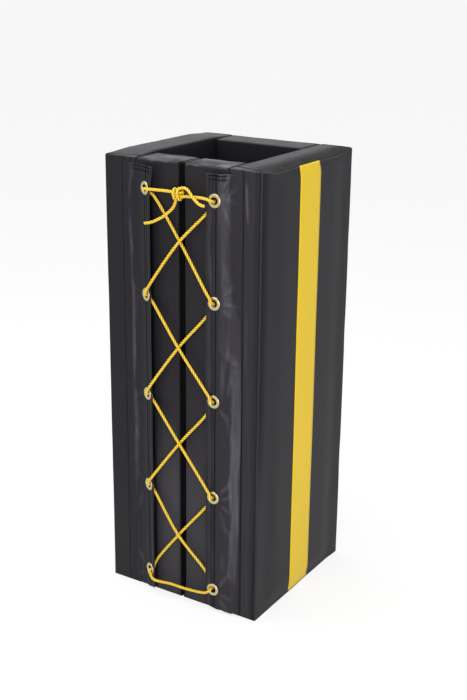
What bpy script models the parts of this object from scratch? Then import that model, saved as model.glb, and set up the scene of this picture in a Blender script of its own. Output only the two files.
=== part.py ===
# A laced wrap-around pad for a round steel column: five vinyl-covered foam blocks, two lacing
# flaps with brass grommets and one rope lace. Metres, +Z up, the front flaps face -Y.
from math import ceil, cos, pi, radians, sin, tan

import bmesh
import bpy
from mathutils import Matrix, Vector

# Driving sizes of the blocks
HEIGHT = 1.067
OPENING = 0.248
THICKNESS = 0.082
CENTRE_GAP = 0.003
SEAT_GAP = 0.0003
VINYL = 0.001
CROWN = 0.003
HALF_CROWN = 0.0008
CROWN_RIM = 0.030
CROWN_RISE = 0.16
CROWN_CLIMB = 0.080
TOP_ROUND = 0.012
SHOULDER = 0.022
HALF_SHOULDER = 0.010
TOE_ROUND = 0.005
EDGE_ROUND = 0.012
EDGE_DRAW = 0.005
SEAM_DRAW = 0.0005
SEAM_SLOPE = 0.010

# Stripes and hinge strips
STRIPE_WIDTH = 0.093
STRIPE_DROP = 0.011
STRIPE_WALL = 0.0008
STRIP_LEG = 0.026
STRIP_END = 0.016

# Lacing flaps: distances are from the centre line of the front
FLAP_SEAM = 0.156
FLAP_TOP_DROP = 0.014
FLAP_FOOT = 0.006
FLAP_MARGIN = {"left": 0.018, "right": 0.0203}
GROMMET_REACH = {"left": 0.088, "right": 0.0948}
LEFT_CREASE = 0.1135
LEFT_TURN = 22.8
LEFT_BLEND = 0.006
RIGHT_RISE = 0.0094
RIGHT_RISE_FROM = 0.138
RIGHT_RISE_TO = 0.114
RIGHT_TURN = 2.4
EDGE_WAVE = 0.0012

# Grommets: a barrel rolled over a washer behind the vinyl
GROMMETS = 5
FIRST_GROMMET = 0.0567
LAST_GROMMET_DROP = 0.0683
GROMMET_SLACK = {
    "left": (0.0, -0.006, -0.009, -0.004, 0.004),
    "right": (0.0, 0.006, 0.009, 0.004, -0.004),
}
BORE = 0.0159
FLANGE = 0.0310
FLANGE_RISE = 0.0021
BARREL_WALL = 0.0006
CURL = 0.0225
CURL_DROP = 0.0006
WASHER = 0.0300
WASHER_WALL = 0.0006
TURNS = 16
PUNCH_REACH = 0.006

# The rope lace
LACE = 0.0064
LACE_CLEAR = 0.0005
KNOT_AT = Vector((0.0018, -0.0155, 0.9993))
KNOT_HALF = (
    (0.0026, -0.0030, 0.0112),
    (0.0040, -0.0062, 0.0079),
    (0.0052, -0.0079, 0.0000),
    (0.0062, -0.0062, -0.0079),
    (0.0068, 0.0000, -0.0110),
    (0.0074, 0.0060, -0.0077),
    (0.0082, 0.0078, -0.0005),
    (0.0100, 0.0063, 0.0042),
    (0.0112, 0.0024, 0.0053),
    (0.0092, -0.0004, 0.0040),
    (0.0050, 0.0000, 0.0036),
    (0.0000, 0.0000, 0.0036),
    (-0.0100, 0.0000, 0.0036),
)
FIRST_OVER, FIRST_UNDER = -0.0150, -0.0080
MIDDLE_OVER, MIDDLE_UNDER = -0.0170, -0.0100
LAST_OVER, LAST_UNDER = -0.0119, -0.0050
BEHIND_LEFT_NEAR, BEHIND_LEFT_FAR = -0.0070, -0.0132
BEHIND_RIGHT = -0.0056
PASS_REACH = 0.0115
PASS_BEND = 0.0048
PASS_DIP = 0.0004
LACE_STEP = 0.0012
LACE_FAIR = 0.0010

DEPTH = OPENING + 2 * THICKNESS
SIDE_AT = OPENING / 2
BLOCK_WIDTH = OPENING - 2 * SEAT_GAP
HALF_WIDTH = (BLOCK_WIDTH - CENTRE_GAP) / 2
GROMMET_PITCH = (HEIGHT - FIRST_GROMMET - LAST_GROMMET_DROP) / (GROMMETS - 1)
BACK_HINGE = (SIDE_AT, DEPTH + SEAT_GAP + VINYL / 2)
FRONT_HINGE = (SIDE_AT + SEAM_DRAW - SEAT_GAP - VINYL, THICKNESS + SEAT_GAP + VINYL)
VINYL_BLACK = (0.040, 0.040, 0.043)
STRIPE_YELLOW = (0.72, 0.50, 0.035)


def material(name, color, roughness, metallic=0.0):
    made = bpy.data.materials.new(name)
    made.use_nodes = True
    shader = made.node_tree.nodes["Principled BSDF"]
    shader.inputs["Base Color"].default_value = (*color, 1)
    shader.inputs["Roughness"].default_value = roughness
    shader.inputs["Metallic"].default_value = metallic
    return made


def clear_scene():
    for old in list(bpy.data.objects):
        bpy.data.objects.remove(old)


class Body:
    """Pieces that move together, under an empty on their hinge's axis."""

    def __init__(self, name, at=(0.0, 0.0), on=None):
        self.place = Matrix.Translation((*at, 0.0))
        self.empty = bpy.data.objects.new(name, None)
        bpy.context.scene.collection.objects.link(self.empty)
        if on is not None:
            self.empty.parent = on.empty
            self.empty.location = self.place.translation - on.place.translation

    def add(self, name, shape, look=None, place=None):
        """A piece of this body; place is where it stands in the whole assembly."""
        made = bpy.data.objects.new(name, shape)
        bpy.context.scene.collection.objects.link(made)
        made.parent = self.empty
        made.matrix_local = self.place.inverted() @ (place or Matrix())
        if not shape.materials:
            shape.materials.append(look)
        return made


def mesh_of(name, points, faces, smooth_angle=40):
    """A closed mesh with its faces pointing outwards."""
    mesh = bpy.data.meshes.new(name)
    mesh.from_pydata([tuple(p) for p in points], [], faces)
    grid = bmesh.new()
    grid.from_mesh(mesh)
    bmesh.ops.recalc_face_normals(grid, faces=grid.faces)
    grid.to_mesh(mesh)
    grid.free()
    mesh.shade_smooth()
    mesh.set_sharp_from_angle(angle=radians(smooth_angle))
    return mesh


def ease(share):
    share = min(max(share, 0.0), 1.0)
    return share * share * (3 - 2 * share)


class Block:
    """One foam block in its cover: u runs along its width, v outwards, z up."""

    def __init__(self, name, width, crown, shoulder, at, turn):
        self.name, self.width, self.crown, self.shoulder = name, width, crown, shoulder
        self.place = Matrix.Translation(at) @ Matrix.Rotation(radians(turn), 4, "Z")
        self.rim = min(CROWN_RIM, 0.12 * width)
        self.rise = CROWN_RISE * width
        self.rounded_ends = ()
        self.flat = None

    def bulge(self, u, z):
        """How far the cover swells past the flat block."""
        across = ease((min(u, self.width - u) - self.rim) / self.rise)
        up = ease((min(z, HEIGHT - z) - CROWN_RIM) / CROWN_CLIMB)
        return self.crown * across * up

    def draw(self, u):
        """How far the outer face is drawn in towards a rounded end."""
        away = {"start": u, "end": self.width - u}
        near = min([away[end] for end in self.rounded_ends], default=EDGE_ROUND)
        return EDGE_DRAW * max(0.0, 1 - near / EDGE_ROUND) ** 2

    def dent(self, u):
        """How far the inner face is drawn in where its neighbours are sewn to it."""
        if self.flat is None:
            return 0.0
        outside = max(self.flat[0] - u, u - self.flat[1])
        return SEAM_DRAW * min(max(outside / SEAM_SLOPE, 0.0), 1.0)

    def stations(self, inset):
        places = [self.rim, self.rim + self.rise / 2, self.rim + self.rise]
        places += [self.width - u for u in places]
        ends = {"start": lambda u: u, "end": lambda u: self.width - u}
        for end in self.rounded_ends:
            places += [ends[end](EDGE_ROUND * share) for share in (1 / 3, 2 / 3, 1)]
        if self.flat is not None:
            low, high = self.flat
            places += [low - SEAM_SLOPE, low, high, high + SEAM_SLOPE]
        return [inset, *sorted(places), self.width - inset]

    def levels(self):
        low = [CROWN_RIM, CROWN_RIM + CROWN_CLIMB / 2, CROWN_RIM + CROWN_CLIMB]
        return [*low, *(HEIGHT - z for z in reversed(low))]

    def outline(self, u, inset):
        """The wrap's outline at one station: up the inner face, over the top, down and under."""
        top, toe = TOP_ROUND - inset, TOE_ROUND - inset
        left, right = inset + self.dent(u), THICKNESS - inset - self.draw(u)
        low, high = inset, HEIGHT - inset
        points = []

        def corner(v, z, wide, tall, start, steps):
            for i in range(steps + 1):
                a = radians(start - 90 * i / steps)
                points.append((v + wide * cos(a), z + tall * sin(a)))

        wide = self.shoulder - inset
        corner(left + toe, low + toe, toe, toe, 270, 2)
        corner(left + top, high - top, top, top, 180, 4)
        corner(right - wide, high - top, wide, top, 90, 5)
        points.extend((right + self.bulge(u, z), z) for z in reversed(self.levels()))
        corner(right - toe, low + toe, toe, toe, 0, 2)
        return points

    def rings(self, inset, end):
        return [
            [Vector((u, v, z)) for v, z in self.outline(u, inset)] for u in self.stations(end)
        ]


def joined(rings, closed_ends):
    """Points and faces of a skin through rings of as many points each."""
    count = len(rings[0])
    points = [p for ring in rings for p in ring]
    faces = []
    for i in range(len(rings) - 1):
        for j in range(count):
            k = (j + 1) % count
            a, b = i * count, (i + 1) * count
            faces.append((a + j, a + k, b + k, b + j))
    if closed_ends:
        last = (len(rings) - 1) * count
        faces.append(tuple(range(count)))
        faces.append(tuple(range(last, last + count)))
    return points, faces


def cover_mesh(block):
    """The sleeve that wraps the block, open at both ends."""
    outer, faces = joined(block.rings(0.0, 0.0), False)
    inner, more = joined(block.rings(VINYL, 0.0), False)
    count = len(block.outline(0.0, 0.0))
    start = len(outer)
    faces += [tuple(start + i for i in face) for face in more]
    for first in (0, start - count):
        for j in range(count):
            k = (j + 1) % count
            faces.append((first + j, first + k, start + first + k, start + first + j))
    return mesh_of(block.name + "_cover", outer + inner, faces)


def gusset_mesh(block, mouth):
    """The end strip sewn into the sleeve's mouth at u = mouth."""
    ring = block.outline(mouth, VINYL + SEAT_GAP)
    inner = VINYL if mouth == 0.0 else mouth - VINYL
    rings = [[Vector((u, v, z)) for v, z in ring] for u in (mouth, inner)]
    points, faces = joined(rings, True)
    return mesh_of(block.name + "_gusset", points, faces)


def core_mesh(block):
    inset = VINYL + SEAT_GAP
    points, faces = joined(block.rings(inset, inset), True)
    return mesh_of(block.name + "_foam", points, faces)


def add_block(block, body, ends, looks):
    """Cover, two end gussets and foam core of one block."""
    body.add(block.name + "_cover", cover_mesh(block), looks["vinyl"], block.place)
    for end, mouth in zip(ends, (0.0, block.width)):
        mesh = gusset_mesh(block, mouth)
        body.add(f"{block.name}_{end}_gusset", mesh, looks["vinyl"], block.place)
    body.add(block.name + "_foam", core_mesh(block), looks["foam"], block.place)


def add_stripe(name, block, body, looks):
    """A yellow band down the middle of the crowned face, parallel to the cover."""
    middle, low = block.width / 2, THICKNESS + SEAT_GAP
    near, far = middle - STRIPE_WIDTH / 2, middle + STRIPE_WIDTH / 2
    rings = []
    for z in [TOE_ROUND, *block.levels(), HEIGHT - STRIPE_DROP]:
        v = low + block.bulge(middle, z)
        corners = ((near, v), (far, v), (far, v + STRIPE_WALL), (near, v + STRIPE_WALL))
        rings.append([Vector((*corner, z)) for corner in corners])
    points, faces = joined(rings, True)
    body.add(name, mesh_of(name, points, faces), looks["stripe"], block.place)


def strip_mesh(name, outline):
    """A vinyl strip of one outline, nearly as tall as the blocks."""
    heights = (STRIP_END / 2, HEIGHT - STRIP_END)
    points, faces = joined([[Vector((*p, z)) for p in outline] for z in heights], True)
    return mesh_of(name, points, faces)


def add_back_hinge_strip(side, sign, body, looks):
    """Flat across the seam at the back corner."""
    joint, y = sign * SIDE_AT, DEPTH + SEAT_GAP
    near, far = joint - STRIP_LEG, joint + STRIP_LEG
    name = side + "_back_hinge_strip"
    outline = [(near, y), (far, y), (far, y + VINYL), (near, y + VINYL)]
    body.add(name, strip_mesh(name, outline), looks["vinyl"])


def add_front_hinge_strip(side, sign, body, looks):
    """Folded into the inner corner between the side and the front half."""
    x, y = SIDE_AT + SEAM_DRAW - SEAT_GAP, THICKNESS + SEAT_GAP
    folded = [
        (x, y),
        (x, y + STRIP_LEG),
        (x - VINYL, y + STRIP_LEG),
        (x - VINYL, y + VINYL),
        (x - STRIP_LEG, y + VINYL),
        (x - STRIP_LEG, y),
    ]
    name = side + "_front_hinge_strip"
    body.add(name, strip_mesh(name, [(sign * px, py) for px, py in folded]), looks["vinyl"])


def flap_rise(side, reach):
    """How far the flap's middle surface stands out from the front plane."""
    seat = SEAT_GAP + VINYL / 2
    if side == "left":
        run = LEFT_CREASE - reach + LEFT_BLEND
        bend = max(0.0, run)
        if run < 2 * LEFT_BLEND:
            bend = bend * bend / (4 * LEFT_BLEND)
        else:
            bend = run - LEFT_BLEND
        return seat + tan(radians(LEFT_TURN)) * bend
    lift = ease((RIGHT_RISE_FROM - reach) / (RIGHT_RISE_FROM - RIGHT_RISE_TO))
    lean = tan(radians(RIGHT_TURN)) * max(0.0, RIGHT_RISE_TO - reach)
    return seat + RIGHT_RISE * lift + lean


def flap_edge(side):
    return GROMMET_REACH[side] - FLAP_MARGIN[side]


def flap_point(side, reach, z):
    """A point of the flap's middle surface; the free edge bellies a little between grommets."""
    sign = -1 if side == "left" else 1
    loose = ease((FLAP_SEAM - 0.02 - reach) / (FLAP_SEAM - 0.02 - flap_edge(side)))
    belly = EDGE_WAVE * (1 - cos(2 * pi * (z - FIRST_GROMMET) / GROMMET_PITCH)) / 2
    return Vector((sign * reach, -flap_rise(side, reach) - loose * belly, z))


def flap_normal(side, reach, z, step=0.001):
    """The flap's outward direction, towards the viewer of the front."""
    along = flap_point(side, reach + step, z) - flap_point(side, reach - step, z)
    up = flap_point(side, reach, z + step) - flap_point(side, reach, z - step)
    normal = along.cross(up).normalized()
    return normal if normal.y < 0 else -normal


def grommet_height(side, row):
    return FIRST_GROMMET + GROMMET_PITCH * row + GROMMET_SLACK[side][row]


def grommet_frame(side, row):
    """Origin, direction to the free edge, direction up, outward normal."""
    reach, z = GROMMET_REACH[side], grommet_height(side, row)
    out = flap_normal(side, reach, z)
    inward = flap_point(side, reach - 0.001, z) - flap_point(side, reach + 0.001, z)
    inward = (inward - out * inward.dot(out)).normalized()
    up = Vector((0, 0, 1))
    up = (up - out * up.dot(out)).normalized()
    return flap_point(side, reach, z), inward, up, out


def flap_columns(side):
    if side == "left":
        bend = [LEFT_CREASE + LEFT_BLEND, LEFT_CREASE, LEFT_CREASE - LEFT_BLEND]
    else:
        steps = 4
        span = RIGHT_RISE_FROM - RIGHT_RISE_TO
        bend = [RIGHT_RISE_FROM - span * i / steps for i in range(steps + 1)]
    return [FLAP_SEAM, *bend, GROMMET_REACH[side], flap_edge(side)]


def flap_mesh(side):
    columns = flap_columns(side)
    low, high = FLAP_FOOT, HEIGHT - FLAP_TOP_DROP
    rows = ceil((high - low) / (GROMMET_PITCH / 4))
    rings = []
    for i in range(rows + 1):
        z = low + (high - low) * i / rows
        front, back = [], []
        for reach in columns:
            middle, out = flap_point(side, reach, z), flap_normal(side, reach, z)
            out = Vector((out.x, out.y, 0)).normalized()
            front.append(middle + out * VINYL / 2)
            back.append(middle - out * VINYL / 2)
        rings.append(front + back[::-1])
    points, faces = joined(rings, True)
    return mesh_of(side + "_flap", points, faces)


def turned(name, profile, turns=TURNS):
    """A ring turned about Z from a closed profile of (radius, height) points."""
    points, faces = [], []
    count = len(profile)
    for i in range(turns):
        a = 2 * pi * i / turns
        points += [Vector((r * cos(a), r * sin(a), h)) for r, h in profile]
    for i in range(turns):
        a, b = i * count, (i + 1) % turns * count
        for j in range(count):
            k = (j + 1) % count
            faces.append((a + j, a + k, b + k, b + j))
    return mesh_of(name, points, faces, 50)


def eyelet_profile():
    """Domed flange in front, barrel through the vinyl, curled over the washer behind."""
    face = VINYL / 2 + SEAT_GAP
    back = -(face + WASHER_WALL + SEAT_GAP)
    bore, barrel = BORE / 2, BORE / 2 + BARREL_WALL
    rim, crest = FLANGE / 2, (FLANGE / 2 + bore) / 2
    return [
        (barrel, face),
        (barrel, back),
        (CURL / 2, back),
        (CURL / 2, back - CURL_DROP / 2),
        (barrel + 0.0006, back - CURL_DROP),
        (bore, back + CURL_DROP / 2),
        (bore, face + FLANGE_RISE / 3),
        (bore + 0.0012, face + 0.85 * FLANGE_RISE),
        (crest, face + FLANGE_RISE),
        (rim - 0.0010, face + 0.55 * FLANGE_RISE),
        (rim, face),
    ]


def washer_profile():
    high = -(VINYL / 2 + SEAT_GAP)
    inner, outer = BORE / 2 + BARREL_WALL + SEAT_GAP, WASHER / 2
    return [
        (inner, high),
        (inner, high - WASHER_WALL),
        (outer - WASHER_WALL, high - WASHER_WALL),
        (outer, high),
    ]


def grommet_place(side, row):
    at, inward, up, out = grommet_frame(side, row)
    turn = Matrix((up.cross(out), up, out)).transposed().to_4x4()
    return Matrix.Translation(at) @ turn


def add_grommets(side, meshes, body, looks):
    for row in range(GROMMETS):
        place = grommet_place(side, row)
        body.add(f"{side}_eyelet_{row + 1}", meshes["eyelet"], looks["brass"], place)
        body.add(f"{side}_washer_{row + 1}", meshes["washer"], looks["brass"], place)


def add_flap(side, body, looks):
    """The flap with its row of holes, cut square to the vinyl at each grommet."""
    flap = body.add(side + "_lacing_flap", flap_mesh(side), looks["vinyl"])
    radius = BORE / 2 + BARREL_WALL + SEAT_GAP
    points, faces = [], []
    for row in range(GROMMETS):
        place, start = grommet_place(side, row), len(points)
        for depth in (-PUNCH_REACH, PUNCH_REACH):
            for i in range(TURNS):
                a = 2 * pi * i / TURNS
                points.append(place @ Vector((radius * cos(a), radius * sin(a), depth)))
        faces += [
            (start + i, start + (i + 1) % TURNS, start + TURNS + (i + 1) % TURNS, start + TURNS + i)
            for i in range(TURNS)
        ]
        faces.append(tuple(start + i for i in range(TURNS)))
        faces.append(tuple(start + TURNS + i for i in range(TURNS)))
    cutter = body.add(side + "_flap_punch", mesh_of("punch", points, faces), looks["vinyl"])
    cutter.hide_render = True
    cutter.display_type = "WIRE"
    punch = flap.modifiers.new("grommet_holes", "BOOLEAN")
    punch.object = cutter
    punch.operation = "DIFFERENCE"
    punch.solver = "EXACT"


def through(side, row, front, back, forwards=True):
    """The lace's points round a grommet's rim: front and back say which way it leaves there.

    Both are (towards the free edge, up) in the flap's plane.
    """
    at, inward, up, out = grommet_frame(side, row)
    over = VINYL / 2 + SEAT_GAP + FLANGE_RISE + LACE_CLEAR + LACE / 2
    under = VINYL / 2 + 2 * SEAT_GAP + WASHER_WALL + CURL_DROP + LACE_CLEAR + LACE / 2

    def way(pair):
        return (inward * pair[0] + up * pair[1]).normalized()

    to_front, to_back = way(front), way(back)
    middle = (to_front + to_back).normalized()
    near = BORE / 2 - LACE / 2 - LACE_CLEAR
    points = [
        at + to_front * PASS_REACH + out * over,
        at + (to_front + middle).normalized() * PASS_BEND + out * (over - PASS_DIP),
        at + middle * near + out * (over - under) / 2,
        at + (to_back + middle).normalized() * PASS_BEND - out * (under - PASS_DIP),
        at + to_back * PASS_REACH - out * under,
    ]
    return points if forwards else points[::-1]


def over_edge(side, z):
    """Where the lace crosses in front of a flap's free edge."""
    reach = flap_edge(side)
    point, out = flap_point(side, reach, z), flap_normal(side, reach, z)
    return point + out * (VINYL / 2 + 2 * LACE_CLEAR + LACE / 2)


def behind_edge(side, z, y):
    """Where the lace comes out from behind a flap's free edge."""
    return Vector(((-1 if side == "left" else 1) * flap_edge(side), y, z))


def knot_half(turned):
    """One strand's half of the knot, tail first: round both strands, then back inside the turn."""
    sign = -1 if turned else 1
    return [KNOT_AT + Vector((sign * x, y, sign * z)) for x, y, z in KNOT_HALF]


def lace_route():
    """The whole lace, from the right-hand tail to the left-hand one."""
    left = [grommet_height("left", row) for row in range(GROMMETS)]
    right = [grommet_height("right", row) for row in range(GROMMETS)]
    rising, falling = (0.60, 0.80), (0.63, -0.78)
    return [
        Vector((0.0774, -0.0235, 0.9831)),
        Vector((0.0706, -0.0245, 0.9839)),
        Vector((0.0636, -0.0250, 0.9865)),
        Vector((0.0559, -0.0250, 0.9918)),
        Vector((0.0470, -0.0240, 0.9995)),
        Vector((0.0377, -0.0225, 1.0087)),
        Vector((0.0290, -0.0205, 1.0145)),
        Vector((0.0170, -0.0182, 1.0150)),
        *knot_half(False),
        KNOT_AT + Vector((-0.0300, -0.0020, 0.0045)),
        over_edge("left", left[4] + 0.001),
        *through("left", 4, (1, 0.05), falling),
        behind_edge("left", left[4] - 0.014, BEHIND_LEFT_NEAR),
        Vector((0.0030, FIRST_UNDER, 0.8920)),
        over_edge("right", right[3] + 0.027),
        *through("right", 3, rising, falling),
        behind_edge("right", right[3] - 0.031, BEHIND_RIGHT),
        Vector((0.0014, MIDDLE_UNDER, 0.6510)),
        over_edge("left", left[2] + 0.027),
        *through("left", 2, rising, falling),
        behind_edge("left", left[2] - 0.014, BEHIND_LEFT_FAR),
        Vector((0.0027, MIDDLE_OVER, 0.4156)),
        over_edge("right", right[1] + 0.026),
        *through("right", 1, rising, falling),
        behind_edge("right", right[1] - 0.028, BEHIND_RIGHT),
        Vector((-0.0045, LAST_UNDER, 0.1740)),
        behind_edge("left", left[0] + 0.030, BEHIND_LEFT_NEAR),
        *through("left", 0, (0.75, -0.66), rising, False),
        over_edge("left", 0.0385),
        Vector((-0.0230, -0.0160, 0.0365)),
        Vector((0.0230, -0.0150, 0.0365)),
        over_edge("right", 0.0440),
        *through("right", 0, (0.85, -0.50), rising),
        behind_edge("right", right[0] + 0.035, BEHIND_RIGHT),
        Vector((-0.0045, LAST_OVER, 0.1740)),
        behind_edge("left", left[1] - 0.014, BEHIND_LEFT_FAR),
        *through("left", 1, rising, falling, False),
        over_edge("left", left[1] + 0.026),
        Vector((0.0027, MIDDLE_UNDER, 0.4156)),
        behind_edge("right", right[2] - 0.034, BEHIND_RIGHT),
        *through("right", 2, rising, falling, False),
        over_edge("right", right[2] + 0.025),
        Vector((0.0014, MIDDLE_OVER, 0.6510)),
        behind_edge("left", left[3] - 0.014, BEHIND_LEFT_FAR),
        *through("left", 3, rising, falling, False),
        over_edge("left", left[3] + 0.026),
        Vector((0.0030, FIRST_OVER, 0.8920)),
        behind_edge("right", right[4] - 0.027, BEHIND_RIGHT),
        *through("right", 4, (1, 0.12), falling, False),
        over_edge("right", right[4] + 0.003),
        KNOT_AT + Vector((0.0300, 0.0010, -0.0020)),
        *reversed(knot_half(True)),
        Vector((-0.0053, -0.0200, 0.9718)),
        Vector((-0.0138, -0.0215, 0.9620)),
        Vector((-0.0301, -0.0245, 0.9481)),
        Vector((-0.0468, -0.0260, 0.9386)),
        Vector((-0.0628, -0.0258, 0.9313)),
        Vector((-0.0808, -0.0240, 0.9270)),
    ]


def smooth_path(route, step):
    """Points of a centripetal curve through the route, about step apart."""
    ends = [2 * route[0] - route[1], *route, 2 * route[-1] - route[-2]]
    path = []
    for i in range(1, len(ends) - 2):
        knots = [0.0]
        for a, b in zip(ends[i - 1 : i + 2], ends[i : i + 3]):
            knots.append(knots[-1] + max((b - a).length, 1e-6) ** 0.5)
        p, t = ends[i - 1 : i + 3], knots
        count = max(2, ceil((p[2] - p[1]).length / step))
        for k in range(count):
            x = t[1] + (t[2] - t[1]) * k / count
            a = [p[j].lerp(p[j + 1], (x - t[j]) / (t[j + 1] - t[j])) for j in range(3)]
            b = [a[j].lerp(a[j + 1], (x - t[j]) / (t[j + 2] - t[j])) for j in range(2)]
            path.append(b[0].lerp(b[1], (x - t[1]) / (t[2] - t[1])))
    return [*path, route[-1].copy()]


def thinned(path, fair):
    """The path's own points, fewer where it runs nearly straight."""
    keep, todo = {0, len(path) - 1}, [(0, len(path) - 1)]
    while todo:
        a, b = todo.pop()
        run = (path[b] - path[a]).normalized()
        away = [((q - path[a]) - run * (q - path[a]).dot(run)).length for q in path[a + 1 : b]]
        if away and max(away) > fair:
            middle = a + 1 + away.index(max(away))
            keep.add(middle)
            todo += [(a, middle), (middle, b)]
    return [path[i] for i in sorted(keep)]


def least_gap(path, thickness, apart):
    """The least clear distance between strands of the lace, apart metres or more along it."""
    skip = ceil(apart / LACE_STEP)
    least = 1.0
    for i in range(0, len(path), 2):
        for j in range(i + skip, len(path), 2):
            least = min(least, (path[i] - path[j]).length)
    return least - thickness


def lace_points():
    return thinned(lace_route(), LACE_FAIR)


def add_lace(body, looks):
    path = smooth_path(lace_route(), LACE_STEP)
    length = sum((b - a).length for a, b in zip(path, path[1:]))
    kept = lace_points()
    print(f"lace {length:.3f} m, {len(kept)} points", end=", ")
    print(f"least gap to itself {least_gap(path, LACE, 0.022) * 1000:.2f} mm")
    curve = bpy.data.curves.new("lace", "CURVE")
    curve.dimensions = "3D"
    curve.bevel_depth = LACE / 2
    curve.bevel_resolution = 2
    curve.use_fill_caps = True
    spline = curve.splines.new("POLY")
    spline.points.add(len(kept) - 1)
    for place, point in zip(spline.points, kept):
        place.co = (*point, 1)
    body.add("lace", curve, looks["rope"])


def move_to_base_centre(root):
    """Shifts the assembly so that the origin is under the middle of its box, lace left out."""
    bpy.context.view_layer.update()
    graph = bpy.context.evaluated_depsgraph_get()
    low, high = 1.0, -1.0
    for obj in bpy.context.scene.objects:
        if obj.type != "MESH" or obj.hide_render:
            continue
        seen = obj.evaluated_get(graph)
        for corner in seen.bound_box:
            y = (obj.matrix_world @ Vector(corner)).y
            low, high = min(low, y), max(high, y)
    root.empty.location.y = -(low + high) / 2
    print(f"front {low:.5f}, back {high:.5f}, shift {root.empty.location.y:.5f}")


def main():
    clear_scene()
    looks = {
        "vinyl": material("black_vinyl", VINYL_BLACK, 0.42),
        "foam": material("cream_foam", (0.72, 0.68, 0.52), 0.95),
        "stripe": material("yellow_vinyl", STRIPE_YELLOW, 0.40),
        "brass": material("brass", (0.80, 0.68, 0.36), 0.30, 1.0),
        "rope": material("yellow_rope", (0.95, 0.60, 0.03), 0.55),
    }
    root = Body("back_panel")
    meshes = {
        "eyelet": turned("eyelet", eyelet_profile()),
        "washer": turned("washer", washer_profile()),
    }
    back = Block("back", BLOCK_WIDTH, CROWN, SHOULDER, (-BLOCK_WIDTH / 2, DEPTH - THICKNESS, 0), 0)
    add_block(back, root, ("left", "right"), looks)
    add_stripe("back_stripe", back, root, looks)
    edge = CENTRE_GAP / 2
    sides = {
        "left": Block("left_side", DEPTH, CROWN, SHOULDER, (-SIDE_AT, 0, 0), 90),
        "right": Block("right_side", DEPTH, CROWN, SHOULDER, (SIDE_AT, DEPTH, 0), -90),
    }
    starts = {"left": -edge, "right": edge + HALF_WIDTH}
    ends = {"left": ("front", "back"), "right": ("back", "front")}
    half_ends = {"left": ("inner", "outer"), "right": ("outer", "inner")}
    centre_end = {"left": ("start",), "right": ("end",)}
    near_front = THICKNESS + SEAT_GAP + STRIP_LEG + SEAM_SLOPE + SEAT_GAP
    near_back = THICKNESS + SEAM_SLOPE / 2
    for side, sign in (("left", -1), ("right", 1)):
        panel = Body(side + "_side_hinge", (sign * BACK_HINGE[0], BACK_HINGE[1]), root)
        half = Body(side + "_front_hinge", (sign * FRONT_HINGE[0], FRONT_HINGE[1]), panel)
        block = sides[side]
        block.rounded_ends = ("start", "end")
        drawn = {"left": (near_front, near_back), "right": (near_back, near_front)}[side]
        block.flat = (drawn[0], DEPTH - drawn[1])
        add_block(block, panel, ends[side], looks)
        add_stripe(side + "_stripe", block, panel, looks)
        at = (starts[side], THICKNESS, 0)
        front = Block(side + "_front", HALF_WIDTH, HALF_CROWN, HALF_SHOULDER, at, 180)
        front.rounded_ends = centre_end[side]
        add_block(front, half, half_ends[side], looks)
        add_back_hinge_strip(side, sign, root, looks)
        add_front_hinge_strip(side, sign, panel, looks)
        add_flap(side, panel, looks)
        add_grommets(side, meshes, panel, looks)
        if side == "right":
            add_lace(panel, looks)
    move_to_base_centre(root)
    for side, sign in (("left", -1), ("right", 1)):
        shift = root.empty.location.y
        for name, (x, y) in (("back", BACK_HINGE), ("front", FRONT_HINGE)):
            print(f"{side} {name} hinge at {sign * x:.5f}, {y + shift:.5f}")


main()
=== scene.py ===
# %% [markdown]
# # A laced pad for a round column
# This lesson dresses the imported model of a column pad: five foam blocks in black vinyl,
# two lacing flaps, ten brass grommets and one yellow rope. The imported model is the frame.
# Every piece below is made in its metres and at its places, so nothing is fitted by eye.

# %% Load the frame
from math import cos, pi, radians, sin, tan

import bmesh
import bpy
import numpy as np
from mathutils import Matrix, Vector, noise
from mathutils.bvhtree import BVHTree


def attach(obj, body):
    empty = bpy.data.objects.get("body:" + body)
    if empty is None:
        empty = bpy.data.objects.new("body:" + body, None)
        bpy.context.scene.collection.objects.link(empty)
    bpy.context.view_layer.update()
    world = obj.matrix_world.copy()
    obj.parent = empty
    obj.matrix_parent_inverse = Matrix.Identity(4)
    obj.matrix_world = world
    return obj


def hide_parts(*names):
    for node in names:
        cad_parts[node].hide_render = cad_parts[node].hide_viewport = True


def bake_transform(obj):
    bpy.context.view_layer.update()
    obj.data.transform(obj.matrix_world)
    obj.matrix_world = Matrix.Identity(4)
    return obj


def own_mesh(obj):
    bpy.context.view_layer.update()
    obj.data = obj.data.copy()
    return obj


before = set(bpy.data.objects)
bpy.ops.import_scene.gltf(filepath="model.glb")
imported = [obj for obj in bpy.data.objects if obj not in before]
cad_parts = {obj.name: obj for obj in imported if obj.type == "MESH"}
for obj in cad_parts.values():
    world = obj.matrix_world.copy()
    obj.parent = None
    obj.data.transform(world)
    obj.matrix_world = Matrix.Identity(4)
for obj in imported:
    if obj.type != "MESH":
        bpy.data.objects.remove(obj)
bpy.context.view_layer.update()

# %% [markdown]
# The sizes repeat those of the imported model. Shapes are worked out with y = 0 on the front
# plane of the blocks, as a maker would measure them, and `placed` moves them to the frame.

# %% Sizes of the pad
HEIGHT, DEPTH, THICK = 1.067, 0.412, 0.082  # the blocks
INNER, OUTER = 0.124, 0.206  # from the middle to a side block's faces
FRONT_PLANE = -0.19768
SEAM_AT = 0.156  # where a flap is sewn down, from the middle
REACH = {"left": 0.088, "right": 0.0948}  # a flap's grommets
EDGE = {"left": 0.07, "right": 0.0745}  # a flap's free edge
PITCH, FIRST = 0.2355, 0.0567  # heights of the grommets
SLACK = {"left": (0, -0.006, -0.009, -0.004, 0.004), "right": (0, 0.006, 0.009, 0.004, -0.004)}
ROPE, VINYL = 0.0064, 0.001
SIGN = {"left": -1, "right": 1}


def ease(x):
    x = np.clip(x, 0, 1)
    return x * x * (3 - 2 * x)


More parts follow.
